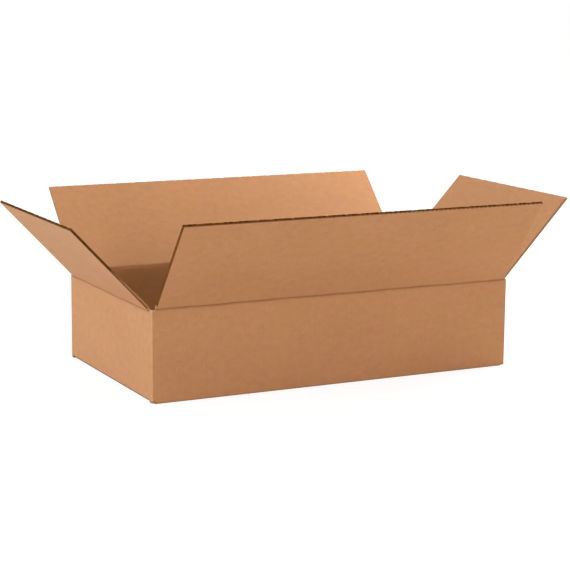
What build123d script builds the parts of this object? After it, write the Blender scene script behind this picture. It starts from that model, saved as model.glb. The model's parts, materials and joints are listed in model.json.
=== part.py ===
from build123d import *
import os
from math import atan2, cos, degrees, radians, sin, tan

# Low slotted carton of single-wall corrugated board, standing open with its four top flaps leaning out.
# Millimetres, +Z up, the long sides along X. The origin is the middle of the face that it stands on.

# Inside of the closed carton: 24 x 13 1/4 x 5 inches
inside_length = 609.6
inside_width = 336.55
inside_depth = 127.0

# Corrugated board: two liners with a fluted medium between them
board = 3.8
liner = 0.45
medium = 0.45
flute_pitch = 7.9
flute_crest = 1.3

# Scores, where the board bends, and slots, which part the flaps at the corners
score_play = 0.2  # each side of a top score
score_strip = 7.0  # board crushed solid beside a top score
closing_play = 0.3  # between shut end flaps and the side flaps over them
seam_gap = 1.5  # between two side flaps that meet
side_slot = 6.0  # from a corner to the side flaps
end_slot = 9.5  # from a corner to the end flaps
slot_past_score = 0.3  # from the side score into the corner

# Folds and the glued corner, where the right wall's lap is stuck inside the back wall
corner_radius = 1.6
fold_radius = 2.5
lap_width = 35.0
lap_taper = 9.0
lap_end_gap = 4.0
lap_setback = 1.5  # from the right wall's face to the back wall's cut edge

# Lean of each open flap out of the vertical, in degrees
front_lean = 37.0
back_lean = 44.0
left_lean = 43.5
right_lean = 43.5

# Sizes that follow
outer_length = inside_length + 2 * board
outer_width = inside_width + 2 * board
half_length = outer_length / 2
half_width = outer_width / 2
floor_top = 2 * board
end_score = floor_top + inside_depth + board
side_score = end_score + board + closing_play
top_slot = side_score - slot_past_score
side_flap_width = outer_length - 2 * side_slot
end_flap_width = outer_width - 2 * end_slot
side_flap_length = half_width - seam_gap / 2
end_flap_length = side_flap_length + side_score - end_score

# The lap's fold is rounded within the step beside the back wall's cut edge
lap_fold_radius = min(corner_radius, 0.9 * lap_setback)

# Planes through the four walls, each at mid-wall on the outer face at floor height:
# X runs into the box, Y runs up and the wall lies along Z
front_wall = Plane((0, -half_width, 0), x_dir=(0, 1, 0), z_dir=(1, 0, 0))
back_wall = Plane((0, half_width, 0), x_dir=(0, -1, 0), z_dir=(-1, 0, 0))
left_wall = Plane((-half_length, 0, 0), x_dir=(1, 0, 0), z_dir=(0, -1, 0))
right_wall = Plane((half_length, 0, 0), x_dir=(-1, 0, 0), z_dir=(0, 1, 0))


def cut_score(wall, height, width):
    """Mitre the top of a wall down to its inner face, so that the flap can fold in flat."""
    top = height - score_play
    with BuildSketch(wall) as mitre:
        with BuildLine():
            Polyline(
                (-board, top + board),
                (2 * board, top - 2 * board),
                (2 * board, side_score + board),
                (-board, side_score + board),
                close=True,
            )
        make_face()
    extrude(mitre.sketch, amount=width / 2, both=True, mode=Mode.SUBTRACT)


def round_fold(wall, height, width):
    """Round the outside of the fold between a wall and its bottom flap."""
    with BuildSketch(wall) as nib:
        with Locations((0, height)):
            Rectangle(fold_radius, fold_radius, align=Align.MIN)
        with Locations((fold_radius, height + fold_radius)):
            Circle(fold_radius, mode=Mode.SUBTRACT)
    extrude(nib.sketch, amount=width / 2, both=True, mode=Mode.SUBTRACT)


def make_body():
    """Four walls, the closed bottom flaps and the glue lap: one folded and glued sheet."""
    with BuildPart() as body:
        # Outside, with three folded corners and the glued one, where the back wall's edge is cut square
        with BuildSketch() as outline:
            Rectangle(outer_length, outer_width)
            with Locations((half_length, half_width)):
                Rectangle(lap_setback, board, align=Align.MAX, mode=Mode.SUBTRACT)
            lap_fold = outline.vertices().group_by(Axis.X)[-1].sort_by(Axis.Y)[-1]
            fillet(lap_fold, lap_fold_radius)
            front_corners = outline.vertices().group_by(Axis.Y)[0]
            back_left_corner = outline.vertices().group_by(Axis.X)[0].sort_by(Axis.Y)[-1]
            fillet(front_corners + [back_left_corner], corner_radius)
        extrude(amount=side_score)

        # Inside, down to the end flaps that lie on the bottom
        with BuildSketch(Plane.XY.offset(floor_top)):
            Rectangle(inside_length, inside_width)
        extrude(amount=side_score, mode=Mode.SUBTRACT)

        # The bottom's end flaps stop short of each other and of the side walls
        with BuildSketch(Plane.XY.offset(board)):
            Rectangle(outer_length - 2 * end_flap_length, inside_width)
            with Locations((0, inside_width / 2), (0, -inside_width / 2)):
                Rectangle(inside_length, 2 * (end_slot - board))
        extrude(amount=board, mode=Mode.SUBTRACT)

        # The bottom's side flaps meet at a seam and stop short of the end walls
        with BuildSketch():
            Rectangle(outer_length, seam_gap)
            with Locations((half_length, 0), (-half_length, 0)):
                Rectangle(2 * side_slot, end_flap_width)
            with Locations((inside_length / 2, 0), (-inside_length / 2, 0)):
                Rectangle(2 * (side_slot - board), inside_width)
        extrude(amount=board, mode=Mode.SUBTRACT)

        # Slots at the corners, above and below
        with BuildSketch(Plane.XY.offset(top_slot)):
            with GridLocations(outer_length, outer_width, 2, 2):
                Rectangle(2 * side_slot, 2 * end_slot)
        extrude(amount=side_score, mode=Mode.SUBTRACT)
        with BuildSketch():
            with GridLocations(outer_length, outer_width, 2, 2):
                Rectangle(2 * side_slot, 2 * end_slot)
        extrude(amount=slot_past_score, mode=Mode.SUBTRACT)

        # Scores at the top and folds at the bottom
        for wall in (front_wall, back_wall):
            cut_score(wall, side_score, side_flap_width)
            round_fold(wall, 0, side_flap_width)
        for wall in (left_wall, right_wall):
            cut_score(wall, end_score, end_flap_width)
            round_fold(wall, board, end_flap_width)

        # Lap that folds on from the right wall, tapered at both ends
        lap_bottom = board + lap_end_gap
        lap_top = end_score - board - lap_end_gap
        with BuildSketch(Plane.XZ.offset(-(inside_width / 2))):
            with BuildLine():
                Polyline(
                    (inside_length / 2, lap_bottom),
                    (inside_length / 2, lap_top),
                    (inside_length / 2 - lap_width, lap_top - lap_taper),
                    (inside_length / 2 - lap_width, lap_bottom + lap_taper),
                    close=True,
                )
            make_face()
        extrude(amount=board)
    return body.part


def make_flap(score, width, length):
    """A top flap on a plane at its score: X along the score, Y through the board and Z up the flap."""
    flutes = round(width / flute_pitch)
    pitch = width / flutes
    rise = board - 2 * liner - medium
    slope = atan2(rise, pitch / 2 - flute_crest)
    base = pitch - flute_crest - medium * tan(slope / 2)
    across = Plane(score.origin, x_dir=score.z_dir, z_dir=-score.x_dir)
    with BuildPart() as flap:
        # Fluted board up to the free edge, with the channels under and over the medium left open
        with BuildSketch(score.offset(score_strip)):
            with Locations((0, board / 2)):
                Rectangle(width, board)
            with Locations((0, liner + rise / 2)):
                with GridLocations(pitch, 0, flutes, 1):
                    Trapezoid(base, rise, degrees(slope), mode=Mode.SUBTRACT)
            with Locations((0, board - liner - rise / 2)):
                with GridLocations(pitch, 0, flutes + 1, 1):
                    Trapezoid(base, rise, degrees(slope), rotation=180, mode=Mode.SUBTRACT)
        extrude(amount=length - score_strip)

        # Crushed strip along the score, mitred to fold against the wall
        with BuildSketch(across):
            with BuildLine():
                Polyline(
                    (score_play, 0),
                    (score_strip, 0),
                    (score_strip, board),
                    (score_play + board, board),
                    close=True,
                )
            make_face()
        extrude(amount=width / 2, both=True)
    return flap.part


def write(part, name):
    part.label = name
    export_step(part, f"parts/{name}.step")


# Planes at the scores of the open flaps
front_turn = radians(front_lean)
back_turn = radians(back_lean)
left_turn = radians(left_lean)
right_turn = radians(right_lean)
front_score = Plane((0, -half_width, side_score), (1, 0, 0), (0, -sin(front_turn), cos(front_turn)))
back_score = Plane((0, half_width, side_score), (-1, 0, 0), (0, sin(back_turn), cos(back_turn)))
left_score = Plane((-half_length, 0, end_score), (0, -1, 0), (-sin(left_turn), 0, cos(left_turn)))
right_score = Plane((half_length, 0, end_score), (0, 1, 0), (sin(right_turn), 0, cos(right_turn)))

os.makedirs("parts", exist_ok=True)
write(make_body(), "carton_body")
write(make_flap(front_score, side_flap_width, side_flap_length), "front_flap")
write(make_flap(back_score, side_flap_width, side_flap_length), "back_flap")
write(make_flap(left_score, end_flap_width, end_flap_length), "left_flap")
write(make_flap(right_score, end_flap_width, end_flap_length), "right_flap")
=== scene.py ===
import json
import math

import bpy
import numpy as np
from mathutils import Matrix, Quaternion, Vector


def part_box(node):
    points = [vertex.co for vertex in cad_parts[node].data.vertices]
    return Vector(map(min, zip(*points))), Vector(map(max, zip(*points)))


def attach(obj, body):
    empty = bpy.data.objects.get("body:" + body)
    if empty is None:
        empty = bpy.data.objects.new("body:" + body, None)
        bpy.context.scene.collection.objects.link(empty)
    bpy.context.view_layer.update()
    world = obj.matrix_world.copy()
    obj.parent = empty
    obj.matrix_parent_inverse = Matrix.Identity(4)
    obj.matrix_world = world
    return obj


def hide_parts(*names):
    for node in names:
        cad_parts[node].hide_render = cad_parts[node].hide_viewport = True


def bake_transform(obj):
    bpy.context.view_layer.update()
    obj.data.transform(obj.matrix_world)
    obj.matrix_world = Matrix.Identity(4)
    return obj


# Low slotted carton of corrugated board, open on a white floor. Metres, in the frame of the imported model.
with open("model.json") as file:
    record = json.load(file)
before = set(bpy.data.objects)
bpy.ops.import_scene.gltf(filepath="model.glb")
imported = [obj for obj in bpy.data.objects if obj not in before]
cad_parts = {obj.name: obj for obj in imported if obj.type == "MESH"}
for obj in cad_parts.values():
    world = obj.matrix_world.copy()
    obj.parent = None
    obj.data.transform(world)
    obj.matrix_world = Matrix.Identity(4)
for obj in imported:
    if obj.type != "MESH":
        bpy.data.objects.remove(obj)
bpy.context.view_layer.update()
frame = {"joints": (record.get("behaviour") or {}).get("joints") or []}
joints = {joint["name"]: joint for joint in frame["joints"]}
half_length = joints["right_flap_fold"]["pos_m"][0]
half_width = joints["back_flap_fold"]["pos_m"][1]

# Board: two liners with a fluted medium between them
board = 0.0038
liner = 0.00045
medium = 0.00045
flute_pitch = 0.0079
wave_height = (board - 2 * liner - medium) / 2
points_per_flute = 12
layers = np.array([0, liner, board - liner, board])
medium_sides = np.array([-0.5, 0.5])

# Cut edges, where the flutes show
flute_depth = 0.025  # open flutes behind an edge that is cut across them
side_groove = 0.005  # open groove behind an edge that is cut along the flutes
medium_reach = 2 * side_groove  # of the medium behind such an edge
medium_inset = 0.0002  # from a cut edge to the medium's own edge
pinch_width = 0.0018  # strip along a cut edge that the knife pressed together
edge_pinch = 0.98  # share of the thickness that the knife leaves
edge_crush = 0.4  # share that is lost where a free edge is crushed
crush_waves = (0.71, 0.43, 0.27)  # how many waves of crushing go into a flute's width
full_crush = 2  # sum of those waves where the edge is crushed most
crush_steps = 4  # columns for each flute along a free edge
edge_flare = 0.5  # growth of the left flap's thickness at the low end of its front edge

# Painted shade along the cut edges
rim_core = 0.0011  # darkest strip of the painted shade on the outer face
shaded_slot_reach = 0.02  # from the front left corner to the end of the painted shade on the edges by its slot
dots_start = 0.15  # from the middle of the front flap back to where its free edge turns dotted
dots_growth = 0.3  # length over which the dots get stronger
dot_depth = 0.8  # share of the painted shade that is lost between two dots
closed_shade = 0.8  # darkness of the outer part of a closed side edge
band_light = 0.85  # share of the painted shade lifted from the inner part of the left flap's front edge at its low end
band_growth = 0.5  # share of the low end over which that part gets light

# Scores of the top flaps
bend_reach = 0.0024  # half of the strip that is bent at rest
blend_reach = 0.004  # half of the strip about a score that gets close rows
bend_steps = 16
outer_dent = 0.00035  # pressed line at the outside
outer_dent_width = 0.0012
inner_dent = 0.0007  # pressed line at the inside
inner_dent_width = 0.0014
crease_width = 0.0021  # painted shade along a score
crease_wander = 0.0005  # how far a score strays from its straight line
crease_wave = 0.083  # length of one wave of its straying
slow_wave = 0.37  # how many of a second, slower wave go into that length
seam_drop = 0.008  # from a score down to where a flap's sheet starts
crushed_strip = 0.007  # board crushed solid above a score
flap_rows = 8

# Corners and folds of the walls
corner_radius = 0.0016
inner_radius = 0.0012
fold_radius = 0.0025
fold_steps = 5
corner_steps = 8
wall_columns = 24
wall_row_heights = (0.35, 0.65)  # shares of the height of the lap's top
bottom_groove_end = 0.08  # from a bottom flap's free edge to the end of the grooves at its sides
bottom_strip = 2 * crushed_strip  # beside a bottom fold, where the medium stops
slot_past_score = 0.0003
foot_lift = 0.0018  # from the floor to the corners' lower ends
fold_wear_and_highlight = 0.2  # wear and painted highlight over a corner
slot_highlight = 0.8  # painted highlight on the corners' upper ends
fold_shade = 0.6  # darkness under the folds at the bottom and at the corners' lower ends
sharp_angle = math.radians(40)  # between two faces, beyond which their edge is shaded sharp
least_step = 0.0001  # between two rows or columns
hairline = 0.00002  # width of a cut that shows no gap

# The glued lap
lap_width = 0.035
lap_taper = 0.009
lap_end_gap = 0.004
lap_setback = 0.0015  # from the right wall's face to the back wall's cut edge
lap_fold_radius = 0.00135
lap_groove = 0.008  # open flutes behind the lap's ends
cut_groove = 0.003  # open flutes behind the back wall's cut edge
lap_foot = board + lap_end_gap
lap_top = joints["left_flap_fold"]["pos_m"][2] - board - lap_end_gap

# Places of the materials on a sheet
liner_face, cut_face, hollow_face, medium_face = range(4)
depth_spread = 20  # keeps the grain of the two faces of a sheet apart

# Colours of the paper, as linear red, green, blue and opacity
kraft_dark = (0.435, 0.199, 0.088, 1)
kraft_light = (0.555, 0.268, 0.128, 1)
kraft_yellow = (0.495, 0.242, 0.090, 1)
# Painted shade of the box's inside: the same paper's tones, darker and more olive
shaded_inside_dark = (0.362, 0.198, 0.0905, 1)
shaded_inside_light = (0.464, 0.265, 0.130, 1)
shaded_inside_yellow = (0.412, 0.238, 0.0905, 1)
# Brown of the dark specks, and of the painted shade in the creases and along the cut edges
speck_and_shade_brown = (0.14, 0.045, 0.010, 1)
# Brown of the light specks, and of the wear and painted highlight on the corners
worn_and_highlight_brown = (0.66, 0.34, 0.17, 1)
crushed_brown = (0.26, 0.1, 0.028, 1)
# Cut paper's own darker brown, darkened further by painted shade of the flutes behind it
cut_and_shade_dark = (0.10, 0.030, 0.004, 1)
cut_and_shade_light = (0.20, 0.070, 0.013, 1)
# Painted shade: the liners' paper inside the open flutes, darkened as if in shadow
hollow_shade_dark = (0.05, 0.015, 0.002, 1)
hollow_shade_light = (0.10, 0.032, 0.005, 1)
# The medium's paper, darkened by painted shade inside the board
medium_shade_dark = (0.14, 0.048, 0.010, 1)
medium_shade_light = (0.28, 0.110, 0.032, 1)

# Spots of the paper: how many a metre along the sheet, up it and between its faces
cloud_spots = (9, 14, 40)
patch_spots = (26, 34, 40)
mottle_spots = (75, 95, 40)
streak_spots = (60, 520, 40)
grain_spots = (600, 800, 40)
dark_speck_spots = (130, 320, 40)
light_speck_spots = (280, 110, 40)
fibre_spots = (1500, 1500, 60)
crushed_spots = (120, 120, 5)

# Stretches of those noises that are used
cloud_range = (0.35, 0.65)
patch_range = (0.4, 0.65)
dark_speck_range = (0.68, 0.8)
light_speck_range = (0.66, 0.8)
grain_range = (0.3, 0.7)
crushed_range = (0.45, 0.65)

# Their strength in the paper's tone and in its relief
cloud_tone = 0.6
mottle_tone = 1.0
streak_tone = 0.2
grain_tone = 0.12
# faint painted shade of the flutes' ridges, beside their relief
flute_shade_tone = 0.02
patch_strength = 0.4
dark_speck_strength = 0.25
light_speck_strength = 0.4
crease_shade_strength = (0.35, 0.65)
grain_relief = 0.5
streak_relief = 0.4
mottle_relief = 0.3
flute_relief = 0.15
liner_relief = 0.00008  # of the whole
raw_relief = 0.0001
liner_gloss = 0.25
raw_gloss = 0.0
liner_roughness = (0.68, 0.82)
raw_roughness = (0.8, 0.95)
inside_shade_heights = (0.142, 0.13)  # up the sheet, where the painted shade of the box's inside starts and where it is full

# Camera: a long lens from the front left, a little above the box
camera_place = (-1.27987, -2.52738, 0.65371)
camera_heading = math.radians(26.778)  # from +Y towards +X
camera_tilt = math.radians(10.533)  # below level
camera_roll = math.radians(0.493)
camera_lens = 112.218  # millimetres, like the sensor
camera_sensor = 36

# Floor and light
white = (1, 1, 1, 1)
floor_size = 12
floor_drop = 0.0002  # keeps it clear of the box's bottom
floor_bounce = (0.8, 0.8, 0.8, 1)  # colour with which it lights the box
floor_shade = (0.2, 0.2, 0.2, 1)  # part of its shown colour that takes the box's shadow
glow_reach = (0.45, 1.2)  # from the origin, where the rest of its shown colour starts to grow and ends
floor_glow = (0.88, 1.0)
ambient_light = 0.2
box_middle = (0, 0, 0.15)
right_inside = (0.3, 0.2, 0.2)


class Panel:
    """One wall with its bottom and top flaps. run is the place of its middle along the whole sheet."""

    def __init__(self, name, half, run):
        joint = joints[name + "_flap_fold"]
        low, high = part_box(name + "_flap")
        self.name = name
        self.half = half
        self.run = run
        self.hinge = np.array(joint["pos_m"])
        self.origin = self.hinge * [1, 1, 0]
        self.along = np.array(joint["axis"], float)
        self.inward = np.cross([0, 0, 1], self.along)
        self.score = self.hinge[2]
        self.lean = math.radians(-90 - joint["range_deg"][0])
        self.flap_half = abs(np.array(high - low) @ self.along) / 2
        reach = max(abs(np.array(low) @ self.inward), abs(np.array(high) @ self.inward))
        self.length = (reach - abs(self.hinge @ self.inward)) / math.sin(self.lean)
        self.is_side = half == half_length
        self.floor_height = 0 if self.is_side else board

        # Height up to which the side edges of the top flap hide their flutes
        self.closed_height = {"front": crushed_strip, "left": self.length / 2}.get(name, self.length)
        self.open_sides = self.closed_height < self.length

    def place(self, across, inward, up):
        """Places from distances along the wall, into the box and up."""
        return (
            self.origin
            + np.asarray(across)[..., None] * self.along
            + np.asarray(inward)[..., None] * self.inward
            + np.asarray(up)[..., None] * np.array([0, 0, 1])
        )


def make_panels():
    """The walls in the sheet's order, from the glued corner round the box."""
    panels = []
    start = 0
    for name in ("back", "left", "front", "right"):
        half = half_length if name in ("back", "front") else half_width
        panels.append(Panel(name, half, start + half))
        start += 2 * half
    return panels


walls = make_panels()
back_wall, left_wall, front_wall, right_wall = walls


def spaced(values):
    """Sorted values with none closer together than the least step."""
    kept = []
    for value in sorted(values):
        if not kept or value - kept[-1] > least_step:
            kept.append(value)
    return np.array(kept)


def smooth(share):
    """The share eased in and out."""
    share = np.clip(share, 0, 1)
    return share * share * (3 - 2 * share)


def line(distance, width):
    """1 on a pressed line, falling off to 0 at each side of it."""
    return np.exp(-((distance / width) ** 2))


def stray(run):
    """How far a score lies off its straight line at a place along the sheet."""
    turn = 2 * math.pi * run / crease_wave
    return crease_wander * (np.sin(turn) + np.sin(slow_wave * turn)) / 2


def crushed_share(run):
    """Share of the board's thickness at a free edge, which is crushed here and there."""
    turn = 2 * math.pi * run / flute_pitch
    dents = sum(np.sin(waves * turn + start) for start, waves in enumerate(crush_waves))
    return edge_pinch - edge_crush * smooth(dents / full_crush)


def painted_edge_shade(distance):
    """Painted shade: 1 on the strip of the outer face along a cut edge, falling off to 0 behind it."""
    return np.clip((pinch_width - distance) / (pinch_width - rim_core), 0, 1)


def near_shaded_slot(run):
    """True by the slot at the front left corner, the only one whose sides get painted shade."""
    return np.abs(run - (front_wall.run - front_wall.half)) < shaded_slot_reach


def dotted_shade(run):
    """Painted shade along a free edge, which turns into dots at the flutes towards the sheet's end."""
    share = smooth((run - front_wall.run + dots_start) / dots_growth)
    return 1 - dot_depth * share * (1 + np.sin(2 * math.pi * run / flute_pitch)) / 2


def fine(low, high):
    """Stations close enough to draw the flutes between two places along the sheet."""
    steps = max(2, math.ceil((high - low) / flute_pitch * points_per_flute))
    return np.linspace(low, high, steps + 1)


def wave(run):
    """Depth of the medium's middle at a place along the sheet."""
    return board / 2 + wave_height * np.sin(2 * math.pi * run / flute_pitch)


def skin(nodes, solid):
    """Quads round the solid cells of a bent grid, and the grid axis that each of them closes."""
    count = nodes.shape[:3]
    strides = np.array([count[1] * count[2], count[2], 1])
    steps = np.eye(3, dtype=int)
    padded = np.pad(solid, 1)
    quads = []
    axes = []
    for axis in range(3):
        first = steps[(axis + 1) % 3]
        second = steps[(axis + 2) % 3]
        for side in (0, 1):
            beyond = np.roll(padded, 1 - 2 * side, axis)[1:-1, 1:-1, 1:-1]
            corner = np.argwhere(solid & ~beyond) + side * steps[axis]
            loop = [corner, corner + first, corner + first + second, corner + second]
            if side == 1:
                loop.reverse()
            quads.append(np.stack([place @ strides for place in loop], axis=1))
            axes.append(np.full(len(corner), axis))
    return np.concatenate(quads), np.concatenate(axes)


def skin_materials(quads, axes, count):
    """Place of the material of each quad on a grid of so many columns, rows and layers."""
    last = count[2] - 1
    layer = quads % count[2]
    column = quads // (count[1] * count[2])
    through = axes == 2
    on_face = through & ((layer == 0).all(1) | (layer == last).all(1))
    at_end = (column == 0).all(1) | (column == count[0] - 1).all(1)
    in_middle = (layer > 0).all(1) & (layer < last).all(1)
    materials = np.where(on_face, liner_face, np.where(through, hollow_face, cut_face))
    materials[at_end & in_middle] = liner_face  # paper closes the flutes there
    return materials


class Sheet:
    """Collects the grids of one piece and makes its mesh."""

    def __init__(self, name):
        self.name = name
        self.places = []
        self.marks = {"run": [], "crease": [], "rim": [], "wear": []}
        self.faces = []
        self.materials = []
        self.count = 0

    def add(self, nodes, solid, is_medium=False, **marks):
        """Adds a bent grid with its marks. run holds sheet coordinates, the others are 0 unless given."""
        quads, axes = skin(nodes, solid)
        if is_medium:
            materials = np.full(len(quads), medium_face)
        else:
            materials = skin_materials(quads, axes, nodes.shape[:3])
        used, quads = np.unique(quads, return_inverse=True)
        self.places.append(nodes.reshape(-1, 3)[used])
        self.marks["run"].append(marks["run"].reshape(-1, 3)[used])
        for mark in ("crease", "rim", "wear"):
            values = marks.get(mark, np.zeros(nodes.shape[:3]))
            self.marks[mark].append(values.reshape(-1)[used])
        self.faces.append(quads.reshape(-1, 4) + self.count)
        self.materials.append(materials)
        self.count += len(used)

    def make(self, materials):
        """The finished mesh as an object, with its marks as point attributes."""
        mesh = bpy.data.meshes.new(self.name)
        mesh.from_pydata(np.concatenate(self.places).tolist(), [], np.concatenate(self.faces).tolist())
        for material in materials:
            mesh.materials.append(material)
        mesh.polygons.foreach_set("material_index", np.concatenate(self.materials).astype(np.int32))
        for mark, values in self.marks.items():
            values = np.concatenate(values).astype(np.float32)
            is_vector = values.ndim == 2
            attribute = mesh.attributes.new(mark, "FLOAT_VECTOR" if is_vector else "FLOAT", "POINT")
            attribute.data.foreach_set("vector" if is_vector else "value", values.ravel())
        mesh.shade_smooth()
        mesh.set_sharp_from_angle(angle=sharp_angle)
        mesh.update()
        piece = bpy.data.objects.new(self.name, mesh)
        bpy.context.scene.collection.objects.link(piece)
        return piece


# The flaps

def flap_place(panel, across, up, depth):
    """Places on a top flap and its score, from the place along it, up it and through the board."""
    share = depth / board
    off = up - stray(panel.run + across)
    dent = outer_dent * line(off, outer_dent_width) * (1 - share)
    dent -= inner_dent * line(off, inner_dent_width) * share
    depth = depth + dent
    turn = smooth((up + bend_reach) / (2 * bend_reach))
    lean_in = -math.sin(panel.lean) * up + math.cos(panel.lean) * depth
    lean_up = math.cos(panel.lean) * up + math.sin(panel.lean) * depth
    inward = depth * (1 - turn) + lean_in * turn
    height = up * (1 - turn) + lean_up * turn
    return panel.place(across, inward, panel.score + height)


def flap_stations(panel):
    """Places of a top flap's columns and rows, close together along its edges and its score."""
    half = panel.flap_half
    edge = [half, half - rim_core, half - pinch_width, half - side_groove]
    columns = round(2 * half / flute_pitch * crush_steps)
    across = spaced([*np.linspace(-half, half, columns + 1), *edge, *np.negative(edge)])
    bend = np.linspace(-blend_reach, blend_reach, bend_steps + 1)
    top = panel.length - np.array([0, rim_core, pinch_width, flute_depth])
    rise = np.linspace(crushed_strip, panel.length, flap_rows + 1)
    up = spaced([-seam_drop, *bend, *rise, panel.closed_height, *top])
    return across, up


def flap_cells(panel, across, up):
    """Solid cells of a top flap's skin: all but the open flutes between the liners."""
    middle_across = np.abs(across[1:] + across[:-1])[:, None] / 2
    middle_up = (up[1:] + up[:-1])[None, :] / 2
    beside = middle_across > panel.flap_half - side_groove
    above = middle_up > panel.length - flute_depth
    closed = middle_up < panel.closed_height
    solid = np.ones((len(across) - 1, len(up) - 1, len(layers) - 1), bool)
    solid[:, :, 1] = np.where(beside, closed, ~above)
    return solid


def on_side_edge(panel, across, up):
    """True on the side edges of a top flap, clear of its score."""
    return (panel.flap_half - np.abs(across) < hairline) & (up > blend_reach)


def low_share(panel, up):
    """1 at a top flap's score, falling to 0 at the height up to which its sides are closed."""
    return np.clip(1 - up / panel.closed_height, 0, 1)


def flap_depth(panel, across, up, depth):
    """Depth in a top flap's board, which is thinner at its edges and flared by the front left slot."""
    run = panel.run + across
    at_side = on_side_edge(panel, across, up)
    at_top = panel.length - up < hairline
    share = np.where(at_top, crushed_share(run), np.where(at_side, edge_pinch, 1))
    depth = board / 2 + (depth - board / 2) * share
    if panel.name == "left":
        depth *= 1 + edge_flare * low_share(panel, up) * (at_side & near_shaded_slot(run))
    return depth


def flap_rim(panel, across, up, depth):
    """Painted shade along the cut edges of a top flap."""
    run = panel.run + across
    at_side = on_side_edge(panel, across, up)
    by_slot = near_shaded_slot(run)
    side_rim = painted_edge_shade(panel.flap_half - np.abs(across)) * (by_slot & (up > blend_reach))
    top_rim = painted_edge_shade(panel.length - up) * dotted_shade(run)
    rim = np.maximum(side_rim, top_rim) * (depth == 0)
    # painted shade on the left flap's front edge, lifted from its inner part at the low end
    if panel.name == "left":
        light = band_light * smooth(low_share(panel, up) / band_growth)
        edge_rim = np.where(depth > liner, 1 - light, 1)
        rim = np.maximum(rim, edge_rim * (at_side & by_slot))
    # painted shade on the outer part of closed side edges
    if not panel.open_sides:
        rim = np.maximum(rim, closed_shade * (at_side & (depth <= liner)))
    return rim


def flap_skin(sheet, panel):
    """The two liners of a top flap, from under its score up to its free edge."""
    across, up = flap_stations(panel)
    solid = flap_cells(panel, across, up)
    across, up, depth = np.meshgrid(across, up, layers, indexing="ij")
    nodes = flap_place(panel, across, up, flap_depth(panel, across, up, depth))
    run = np.stack([panel.run + across, panel.score + up, depth * depth_spread], axis=-1)
    # painted shade along the score
    crease = line(up - stray(panel.run + across), crease_width)
    sheet.add(nodes, solid, run=run, crease=crease, rim=flap_rim(panel, across, up, depth))


def flap_medium(sheet, panel):
    """The fluted medium behind the cut edges of a top flap."""
    half = panel.flap_half - (0 if panel.open_sides else side_groove)
    top = panel.length - medium_inset
    foot = panel.closed_height if panel.open_sides else crushed_strip
    across = fine(-half, half)
    rows = [foot, panel.length - flute_depth, panel.length - pinch_width, top]
    beside = np.abs(across[1:] + across[:-1]) / 2 > half - medium_reach
    solid = np.ones((len(across) - 1, len(rows) - 1, 1), bool)
    solid[:, 0, 0] = beside & panel.open_sides
    across, up, side = np.meshgrid(across, rows, medium_sides, indexing="ij")
    share = np.where(up == top, crushed_share(panel.run + across), 1)
    middle = board / 2 + (wave(panel.run + across) - board / 2) * share
    nodes = flap_place(panel, across, up, middle + side * medium)
    run = np.stack([panel.run + across, panel.score + up, side], axis=-1)
    sheet.add(nodes, solid, is_medium=True, run=run)


def make_flap(panel, materials):
    """One top flap, whose sheet starts under its score and bends there."""
    sheet = Sheet(panel.name + "_flap_board")
    flap_skin(sheet, panel)
    flap_medium(sheet, panel)
    piece = sheet.make(materials)
    lean_out = panel.place(0, -math.sin(panel.lean), math.cos(panel.lean)) - panel.origin
    between = np.array([0, 0, 1]) + lean_out
    between *= blend_reach / np.linalg.norm(between)
    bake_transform(piece)
    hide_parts(panel.name + "_flap")


# The walls, the bottom and the glued lap

class Row:
    """One row of the sheet that goes round the box. place is a height, a distance or a share of a fold."""

    def __init__(self, kind, place, name=""):
        self.kind = kind
        self.place = place
        self.name = name


class Column:
    """One column of that sheet. low and high name the rows between which it has board before it."""

    def __init__(self, outer, inner, run, low, high):
        self.outer = outer
        self.inner = inner
        self.run = run
        self.low = low
        self.high = high
        self.panel = None  # set between a wall's slots, where it has a bottom flap
        self.across = 0
        self.bend = 0  # 1 in the middle of a folded corner
        self.lap = None  # share of the lap's width


def straight(panel, places, low, high, on_flap=False):
    """Columns at places along a wall."""
    columns = []
    for across in places:
        outer = panel.origin + panel.along * across
        column = Column(outer, outer + panel.inward * board, panel.run + across, low, high)
        if on_flap:
            column.panel = panel
            column.across = across
        columns.append(column)
    return columns


def corner(before, after, turn, radius, run):
    """Round fold between two walls. turn is where their outer faces would meet, and run its place."""
    columns = []
    centre = turn + (before.inward + after.inward) * radius
    inside = turn + (before.inward + after.inward) * board
    for share in np.linspace(0, 1, corner_steps + 1):
        angle = share * math.pi / 2
        outward = -before.inward * math.cos(angle) - after.inward * math.sin(angle)
        pull = -before.along * (1 - share) ** 2 + after.along * share**2
        outer = centre + outward * radius
        inner = inside + pull * inner_radius
        column = Column(outer, inner, run + (2 * share - 1) * radius, "post_foot", "post_top")
        column.bend = math.sin(2 * angle)
        columns.append(column)
    return columns


def wall_columns_of(panel):
    """Columns of a wall between its slots."""
    half = panel.flap_half
    seam = "side_seam" if panel.is_side else "end_seam"
    edge = np.array([half - pinch_width, half - side_groove])
    places = spaced([*np.linspace(-half, half, wall_columns + 1), *edge, *-edge])
    columns = straight(panel, places[:1], "foot", seam, on_flap=True)
    columns += straight(panel, places[1:], "free_edge", seam, on_flap=True)
    columns += straight(panel, [half + hairline], "foot", seam)
    return columns


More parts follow.
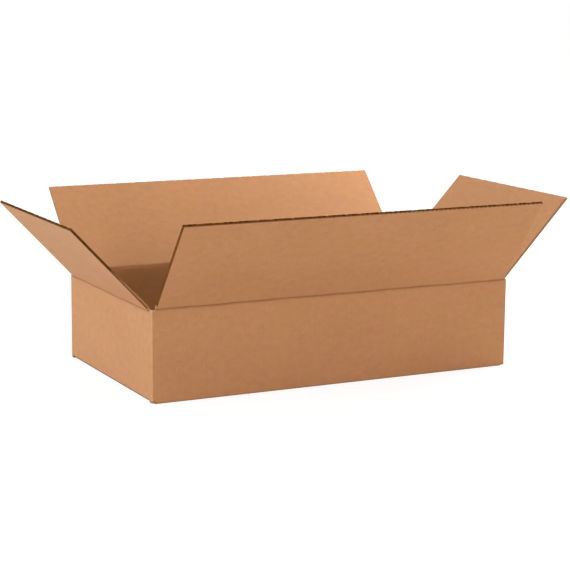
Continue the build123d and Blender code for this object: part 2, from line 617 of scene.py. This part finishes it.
def make_columns():
    """The sheet from the back wall's cut edge, round the box and on to the lap's free edge."""
    post = ("post_foot", "post_top")
    first_post = fine(lap_setback - back_wall.half, -back_wall.flap_half - hairline)
    columns = straight(back_wall, first_post, *post)
    for before, after in zip(walls[:-1], walls[1:]):
        turn = before.origin + before.along * before.half
        columns += wall_columns_of(before)
        to_corner = fine(before.flap_half + hairline, before.half - corner_radius)[1:-1]
        from_corner = fine(corner_radius - after.half, -after.flap_half - hairline)[1:]
        columns += straight(before, to_corner, *post)
        columns += corner(before, after, turn, corner_radius, before.run + before.half)
        columns += straight(after, from_corner, *post)
    columns += wall_columns_of(right_wall)
    turn_place = right_wall.half - board
    turn = right_wall.origin + right_wall.along * turn_place
    to_lap = fine(right_wall.flap_half + hairline, turn_place - lap_fold_radius)[1:-1]
    columns += straight(right_wall, to_lap, *post)
    columns += corner(right_wall, back_wall, turn, lap_fold_radius, right_wall.run + turn_place)
    columns += lap_columns(turn, right_wall.run + turn_place)
    return columns


def lap_columns(turn, run):
    """Columns of the lap, which lies on the inside of the back wall."""
    root = turn + back_wall.along * board
    inner = root + back_wall.inward * board
    columns = [Column(root, inner, run + board, "post_foot", "post_top")]
    for across in fine(hairline, lap_width):
        outer = root + back_wall.along * across
        inner = outer + back_wall.inward * board
        column = Column(outer, inner, run + board + across, "lap_foot", "lap_top")
        column.lap = across / lap_width
        columns.append(column)
    return columns


def make_rows():
    """Rows up a wall, from the free edge of its bottom flap."""
    top = front_wall.score - slot_past_score
    rows = [Row("flap", 0, "free_edge"), Row("flap", pinch_width)]
    rows += [Row("flap", flute_depth, "flutes_end"), Row("flap", bottom_groove_end, "groove_end")]
    rows += [Row("fold", share) for share in np.linspace(0, 1, fold_steps + 1)[:-1]]
    rows += [Row("fold", 1, "post_foot"), Row("wall", board + fold_radius + least_step, "foot")]
    rows += [Row("wall", lap_foot, "lap_foot"), Row("wall", lap_foot + lap_groove, "low_groove_end")]
    rows += [Row("wall", share * lap_top) for share in wall_row_heights]
    rows += [Row("wall", lap_top - lap_groove, "high_groove_end")]
    rows += [Row("wall", left_wall.score - seam_drop, "end_seam"), Row("wall", lap_top, "lap_top")]
    rows += [Row("wall", front_wall.score - seam_drop, "side_seam")]
    rows += [Row("wall", top - pinch_width), Row("wall", top, "post_top")]
    return rows


def section(panel, row, depth):
    """Places in a wall's section, into the box and up, from a row and the depth in the board."""
    if row.kind == "wall":
        return depth, np.full_like(depth, row.place)
    if row.kind == "flap":
        return np.full_like(depth, panel.length - row.place), panel.floor_height + depth
    angle = (1 - row.place) * math.pi / 2
    outer_y = fold_radius * (1 - math.cos(angle))
    outer_z = panel.floor_height + fold_radius * (1 - math.sin(angle))
    inner_y = board + inner_radius * (1 - row.place) ** 2
    inner_z = panel.floor_height + board + inner_radius * row.place**2
    share = depth / board
    return outer_y + (inner_y - outer_y) * share, outer_z + (inner_z - outer_z) * share


def sheet_height(column, row):
    """Place of a row up the flat sheet, counted from the fold at the bottom."""
    if row.kind == "wall":
        return row.place
    if row.kind == "fold":
        return fold_radius * (2 * row.place - 1)
    return row.place - (column.panel.length if column.panel else 0)


def strip_place(column, row, depth):
    """Places in one column and row of the strip, from the depth in the board."""
    if column.panel:
        inward, up = section(column.panel, row, depth)
        return column.panel.place(np.full_like(depth, column.across), inward, up)
    height = row.place if row.kind == "wall" else foot_lift
    if column.lap is not None:
        middle = (lap_foot + lap_top) / 2
        narrowing = 2 * lap_taper * column.lap / (lap_top - lap_foot)
        height = middle + (height - middle) * (1 - narrowing)
    across_board = (depth / board)[:, None] * (column.inner - column.outer)
    return column.outer + across_board + [0, 0, height]


def strip_grid(columns, rows, depths):
    """Nodes and marks of the whole strip at the given depths."""
    size = (len(columns), len(rows), depths.shape[1])
    nodes = np.zeros((*size, 3))
    run = np.zeros((*size, 3))
    rim = np.zeros(size)
    wear = np.zeros(size)
    for i, column in enumerate(columns):
        for j, row in enumerate(rows):
            nodes[i, j] = strip_place(column, row, depths[i])
            run[i, j, :, 0] = column.run
            run[i, j, :, 1] = sheet_height(column, row)
            run[i, j, :, 2] = depths[i] * depth_spread
            # wear and painted highlight over the folded corners
            wear[i, j] = fold_wear_and_highlight * column.bend
            # painted shade under the bottom folds, full at the corners' lower ends
            if row.kind == "fold":
                rim[i, j] = fold_shade * (1 - row.place if column.panel else 1)
    # painted highlight on the corners' upper ends, under the slots
    wear[:, -1] = slot_highlight
    return nodes, {"run": run, "rim": rim, "wear": wear}


def strip_cells(columns, rows):
    """Which cells between columns and rows are board, and which of those show their flutes."""
    order = {row.name: j for j, row in enumerate(rows)}
    board_cells = np.zeros((len(columns) - 1, len(rows) - 1), bool)
    open_cells = np.zeros_like(board_cells)
    for i, (before, after) in enumerate(zip(columns[:-1], columns[1:])):
        board_cells[i, order[after.low]:order[after.high]] = True
        if after.low == "post_foot":
            open_cells[i, order["side_seam"]:] = True
            open_cells[i] |= after.run < cut_groove + lap_setback
        if after.low == "lap_foot":
            open_cells[i, order["lap_foot"]:order["low_groove_end"]] = True
            open_cells[i, order["high_groove_end"]:order["lap_top"]] = True
            open_cells[i] |= before.lap is not None and (1 - before.lap) * lap_width < side_groove
        if after.low == "free_edge":
            open_cells[i, :order["flutes_end"]] = True
            beside = abs(before.across + after.across) / 2 > after.panel.flap_half - side_groove
            open_cells[i, :order["groove_end"]] |= beside
    return board_cells, open_cells & board_cells


def bottom_medium(sheet, panel):
    """The fluted medium behind the cut edges of a bottom flap."""
    across = fine(-panel.flap_half, panel.flap_half)
    rows = [panel.length - bottom_strip, flute_depth, medium_inset]
    beside = np.abs(across[1:] + across[:-1]) / 2 > panel.flap_half - medium_reach
    solid = np.ones((len(across) - 1, len(rows) - 1, 1), bool)
    solid[:, 0, 0] = beside
    across, back, side = np.meshgrid(across, rows, medium_sides, indexing="ij")
    depth = wave(panel.run + across) + side * medium
    nodes = panel.place(across, panel.length - back, panel.floor_height + depth)
    run = np.stack([panel.run + across, back - panel.length, side], axis=-1)
    sheet.add(nodes, solid, is_medium=True, run=run)


def make_walls(materials):
    """The sheet that goes round the box, with its bottom flaps and its lap."""
    columns = make_columns()
    rows = make_rows()
    sheet = Sheet("carton_sheet")
    board_cells, open_cells = strip_cells(columns, rows)
    solid = np.repeat(board_cells[:, :, None], len(layers) - 1, axis=2)
    solid[:, :, 1] &= ~open_cells
    depths = np.tile(layers, (len(columns), 1))
    nodes, marks = strip_grid(columns, rows, depths)
    sheet.add(nodes, solid, **marks)

    # The medium at the corners, the lap and the back wall's cut edge
    runs = np.array([column.run for column in columns])
    depths = wave(runs)[:, None] + medium * medium_sides
    nodes, marks = strip_grid(columns, rows, depths)
    on_flap = np.array([column.low == "free_edge" for column in columns[1:]])
    fluted = open_cells & ~on_flap[:, None]
    sheet.add(nodes, fluted[:, :, None], is_medium=True, **marks)

    for panel in walls:
        bottom_medium(sheet, panel)
    piece = sheet.make(materials)
    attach(piece, "carton")
    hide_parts("carton_body")


# Materials

class Paint:
    """A Principled material and short ways to add nodes to it."""

    def __init__(self, name):
        self.material = bpy.data.materials.new(name)
        self.material.use_nodes = True
        self.tree = self.material.node_tree
        self.shader = self.tree.nodes["Principled BSDF"]

    def link(self, value, socket):
        """Links a node's output to a socket, or sets the socket to a plain value."""
        if isinstance(value, bpy.types.NodeSocket):
            self.tree.links.new(value, socket)
        else:
            socket.default_value = value

    def mark(self, name, output):
        """A mark of the sheet."""
        node = self.tree.nodes.new("ShaderNodeAttribute")
        node.attribute_name = name
        return node.outputs[output]

    def math(self, operation, first, second):
        """Result of one operation on two values."""
        node = self.tree.nodes.new("ShaderNodeMath")
        node.operation = operation
        self.link(first, node.inputs[0])
        self.link(second, node.inputs[1])
        return node.outputs[0]

    def noise(self, spots, detail):
        """Noise of so many spots a metre along the sheet, up it and between its faces."""
        scaled = self.tree.nodes.new("ShaderNodeVectorMath")
        scaled.operation = "MULTIPLY"
        self.link(self.mark("run", "Vector"), scaled.inputs[0])
        scaled.inputs[1].default_value = spots
        node = self.tree.nodes.new("ShaderNodeTexNoise")
        self.link(scaled.outputs[0], node.inputs["Vector"])
        node.inputs["Scale"].default_value = 1
        node.inputs["Detail"].default_value = detail
        return node.outputs[0]

    def spread(self, value, source, target=(0, 1)):
        """The value's stretch between the two ends of source, mapped to those of target."""
        node = self.tree.nodes.new("ShaderNodeMapRange")
        self.link(value, node.inputs["Value"])
        for name, end in zip(("From Min", "From Max", "To Min", "To Max"), (*source, *target)):
            node.inputs[name].default_value = end
        return node.outputs[0]

    def total(self, *shares):
        """Sum of noises about their middle, each with its weight, and of one half."""
        value = 0.5
        for noise, weight in shares:
            part = self.math("MULTIPLY", self.math("SUBTRACT", noise, 0.5), weight)
            value = self.math("ADD", part, value)
        return value

    def mix(self, share, first, second):
        """Colour between two others."""
        node = self.tree.nodes.new("ShaderNodeMix")
        node.data_type = "RGBA"
        self.link(share, node.inputs["Factor"])
        self.link(first, node.inputs[6])
        self.link(second, node.inputs[7])
        return node.outputs[2]

    def finish(self, colour, roughness, height, relief):
        """Sets colour and roughness, and a bump of the given relief in metres."""
        bump = self.tree.nodes.new("ShaderNodeBump")
        bump.inputs["Distance"].default_value = relief
        self.link(height, bump.inputs["Height"])
        self.link(colour, self.shader.inputs["Base Color"])
        self.link(roughness, self.shader.inputs["Roughness"])
        self.link(bump.outputs[0], self.shader.inputs["Normal"])
        return self.material


def kraft_liner():
    """Brown paper: cloudy and mottled, faintly streaked, with specks, the print of the flutes in relief and
    in faint painted shade, and the painted shade and highlight of the sheet's marks.
    """
    paint = Paint("kraft_liner")
    paint.shader.inputs["Specular IOR Level"].default_value = liner_gloss
    cloud = paint.noise(cloud_spots, detail=3)
    patch = paint.noise(patch_spots, detail=2)
    mottle = paint.noise(mottle_spots, detail=3)
    streak = paint.noise(streak_spots, detail=3)
    grain = paint.noise(grain_spots, detail=2)
    dark_speck = paint.spread(paint.noise(dark_speck_spots, detail=1), dark_speck_range)
    light_speck = paint.spread(paint.noise(light_speck_spots, detail=1), light_speck_range)
    place = paint.tree.nodes.new("ShaderNodeSeparateXYZ")
    paint.link(paint.mark("run", "Vector"), place.inputs[0])
    turns = paint.math("MULTIPLY", place.outputs[0], 2 * math.pi / flute_pitch)
    flutes = paint.math("SINE", turns, 0)

    # Tones of the outside, and of the box's inside, which gets painted shade down its walls
    inner_face = paint.math("GREATER_THAN", place.outputs[2], depth_spread * board / 2)
    # inside: share of the painted shade on the box's inside
    inside = paint.math("MULTIPLY", inner_face, paint.spread(place.outputs[1], inside_shade_heights))
    dark = paint.mix(inside, kraft_dark, shaded_inside_dark)
    light = paint.mix(inside, kraft_light, shaded_inside_light)
    yellow = paint.mix(inside, kraft_yellow, shaded_inside_yellow)
    tone = paint.total((cloud, cloud_tone), (mottle, mottle_tone), (streak, streak_tone), (grain, grain_tone))
    # faint painted shade of the flutes' ridges
    tone = paint.math("ADD", tone, paint.math("MULTIPLY", flutes, flute_shade_tone))
    colour = paint.mix(tone, dark, light)
    colour = paint.mix(paint.spread(patch, patch_range, (0, patch_strength)), colour, yellow)

    # Specks, painted shade in the creases, wear and painted highlight on the corners, and painted shade along
    # the cut edges and bottom folds
    colour = paint.mix(paint.math("MULTIPLY", dark_speck, dark_speck_strength), colour, speck_and_shade_brown)
    colour = paint.mix(paint.math("MULTIPLY", light_speck, light_speck_strength), colour, worn_and_highlight_brown)
    # painted shade in the creases, patchy with the clouds
    strength = paint.spread(cloud, cloud_range, crease_shade_strength)
    crease = paint.math("MULTIPLY", paint.mark("crease", "Fac"), strength)
    colour = paint.mix(crease, colour, speck_and_shade_brown)
    # wear and painted highlight on the corners
    colour = paint.mix(paint.mark("wear", "Fac"), colour, worn_and_highlight_brown)
    # painted shade along the cut edges, by the front left slot and under the bottom folds
    colour = paint.mix(paint.mark("rim", "Fac"), colour, speck_and_shade_brown)

    height = paint.total((grain, grain_relief), (streak, streak_relief), (mottle, mottle_relief))
    height = paint.math("ADD", height, paint.math("MULTIPLY", flutes, flute_relief))
    return paint.finish(colour, paint.spread(grain, grain_range, liner_roughness), height, liner_relief)


def raw_paper(name, dark, light):
    """Paper that was cut, or that lies inside the board: fibrous, and darker by painted shade."""
    paint = Paint(name)
    paint.shader.inputs["Specular IOR Level"].default_value = raw_gloss
    fibre = paint.noise(fibre_spots, detail=3)
    crushed = paint.spread(paint.noise(crushed_spots, detail=1), crushed_range)
    colour = paint.mix(fibre, dark, light)
    colour = paint.mix(crushed, colour, crushed_brown)
    return paint.finish(colour, paint.spread(fibre, grain_range, raw_roughness), fibre, raw_relief)


def seen_directly(tree):
    """1 for rays that show a background: from the camera, and those that mirror it or pass through glass."""
    path = tree.nodes.new("ShaderNodeLightPath")
    value = path.outputs["Is Camera Ray"]
    for name in ("Is Glossy Ray", "Is Transmission Ray"):
        node = tree.nodes.new("ShaderNodeMath")
        node.operation = "MAXIMUM"
        tree.links.new(value, node.inputs[0])
        tree.links.new(path.outputs[name], node.inputs[1])
        value = node.outputs[0]
    return value


def floor_light(tree):
    """Glow of the floor, which gets stronger away from the box."""
    place = tree.nodes.new("ShaderNodeNewGeometry")
    distance = tree.nodes.new("ShaderNodeVectorMath")
    distance.operation = "LENGTH"
    tree.links.new(place.outputs["Position"], distance.inputs[0])
    glow = tree.nodes.new("ShaderNodeMapRange")
    glow.interpolation_type = "SMOOTHSTEP"
    tree.links.new(distance.outputs["Value"], glow.inputs["Value"])
    for name, end in zip(("From Min", "From Max", "To Min", "To Max"), (*glow_reach, *floor_glow)):
        glow.inputs[name].default_value = end
    emission = tree.nodes.new("ShaderNodeEmission")
    tree.links.new(glow.outputs[0], emission.inputs["Strength"])
    return emission.outputs[0]


def white_floor():
    """Pale floor that lights the box from below, and shows as white with the box's faint shadow."""
    material = bpy.data.materials.new("white_floor")
    material.use_nodes = True
    tree = material.node_tree
    tree.nodes.clear()
    bounce = tree.nodes.new("ShaderNodeBsdfDiffuse")
    bounce.inputs["Color"].default_value = floor_bounce
    shade = tree.nodes.new("ShaderNodeBsdfDiffuse")
    shade.inputs["Color"].default_value = floor_shade
    shown = tree.nodes.new("ShaderNodeAddShader")
    tree.links.new(floor_light(tree), shown.inputs[0])
    tree.links.new(shade.outputs[0], shown.inputs[1])
    choice = tree.nodes.new("ShaderNodeMixShader")
    tree.links.new(seen_directly(tree), choice.inputs[0])
    tree.links.new(bounce.outputs[0], choice.inputs[1])
    tree.links.new(shown.outputs[0], choice.inputs[2])
    output = tree.nodes.new("ShaderNodeOutputMaterial")
    tree.links.new(choice.outputs[0], output.inputs["Surface"])
    return material


def white_world():
    """White background, with a dimmer even light from all round."""
    world = bpy.data.worlds.new("white_world")
    world.use_nodes = True
    tree = world.node_tree
    light = tree.nodes["Background"]
    light.inputs["Color"].default_value = white
    light.inputs["Strength"].default_value = ambient_light
    shown = tree.nodes.new("ShaderNodeBackground")
    shown.inputs["Color"].default_value = white
    choice = tree.nodes.new("ShaderNodeMixShader")
    tree.links.new(seen_directly(tree), choice.inputs[0])
    tree.links.new(light.outputs[0], choice.inputs[1])
    tree.links.new(shown.outputs[0], choice.inputs[2])
    tree.links.new(choice.outputs[0], tree.nodes["World Output"].inputs["Surface"])
    return world


def make_floor():
    """The plane that the box stands on."""
    bpy.ops.mesh.primitive_plane_add(size=floor_size, location=(0, 0, -floor_drop))
    floor = bpy.context.object
    floor.name = "floor"
    floor.data.materials.append(white_floor())


def softbox(name, place, size, watts, colour, aim=box_middle):
    """Square lamp that looks at the box."""
    lamp = bpy.data.lights.new(name, "AREA")
    lamp.size = size
    lamp.energy = watts
    lamp.color = colour
    holder = bpy.data.objects.new(name, lamp)
    holder.location = place
    holder.rotation_euler = (Vector(aim) - Vector(place)).to_track_quat("-Z", "Y").to_euler()
    holder.visible_camera = False
    bpy.context.scene.collection.objects.link(holder)


def make_lamps():
    """Soft light from the front, the left, above and behind, and a small lamp at the right end."""
    softbox("front_lamp", place=(-0.35, -2.51, 0.585), size=1.1, watts=26.6, colour=(1, 0.97, 0.92))
    softbox("left_lamp", place=(-2.53, 0, 0.585), size=1.1, watts=41, colour=(0.8, 0.92, 1))
    softbox("high_left_lamp", place=(-1.99, 0, 1.67), size=1.4, watts=10.4, colour=(0.97, 0.88, 0.88))
    softbox("top_lamp", place=(0, -0.35, 2.55), size=1.6, watts=16.6, colour=(0.95, 0.99, 0.92))
    right_tint = (0.97, 0.97, 0.93)
    softbox("right_lamp", place=(1, 0.15, 0.75), size=0.4, watts=12, colour=right_tint, aim=right_inside)
    softbox("back_lamp", place=(0, 1.84, 1.84), size=1.4, watts=12, colour=(1, 1, 1))


def make_camera():
    """The camera at its place, turned by its heading, its tilt and its roll."""
    camera = bpy.data.objects.new("camera", bpy.data.cameras.new("camera"))
    bpy.context.scene.collection.objects.link(camera)
    level = math.cos(camera_tilt)
    east = math.sin(camera_heading) * level
    north = math.cos(camera_heading) * level
    ahead = Vector((east, north, -math.sin(camera_tilt)))
    camera.data.sensor_width = camera_sensor
    camera.data.lens = camera_lens
    camera.location = camera_place
    camera.rotation_mode = "QUATERNION"
    camera.rotation_quaternion = ahead.to_track_quat("-Z", "Y") @ Quaternion((0, 0, 1), camera_roll)
    return camera


# The board's materials, in the order of liner_face, cut_face, hollow_face and medium_face
board_materials = [
    kraft_liner(),
    raw_paper("cut_paper", cut_and_shade_dark, cut_and_shade_light),
    raw_paper("inner_paper", hollow_shade_dark, hollow_shade_light),
    raw_paper("medium_paper", medium_shade_dark, medium_shade_light),
]

# The box
for panel in walls:
    make_flap(panel, board_materials)
make_walls(board_materials)

# What is round it
bpy.context.scene.camera = make_camera()
make_floor()
make_lamps()
bpy.context.scene.world = white_world()
bpy.context.scene.view_settings.view_transform = "Standard"
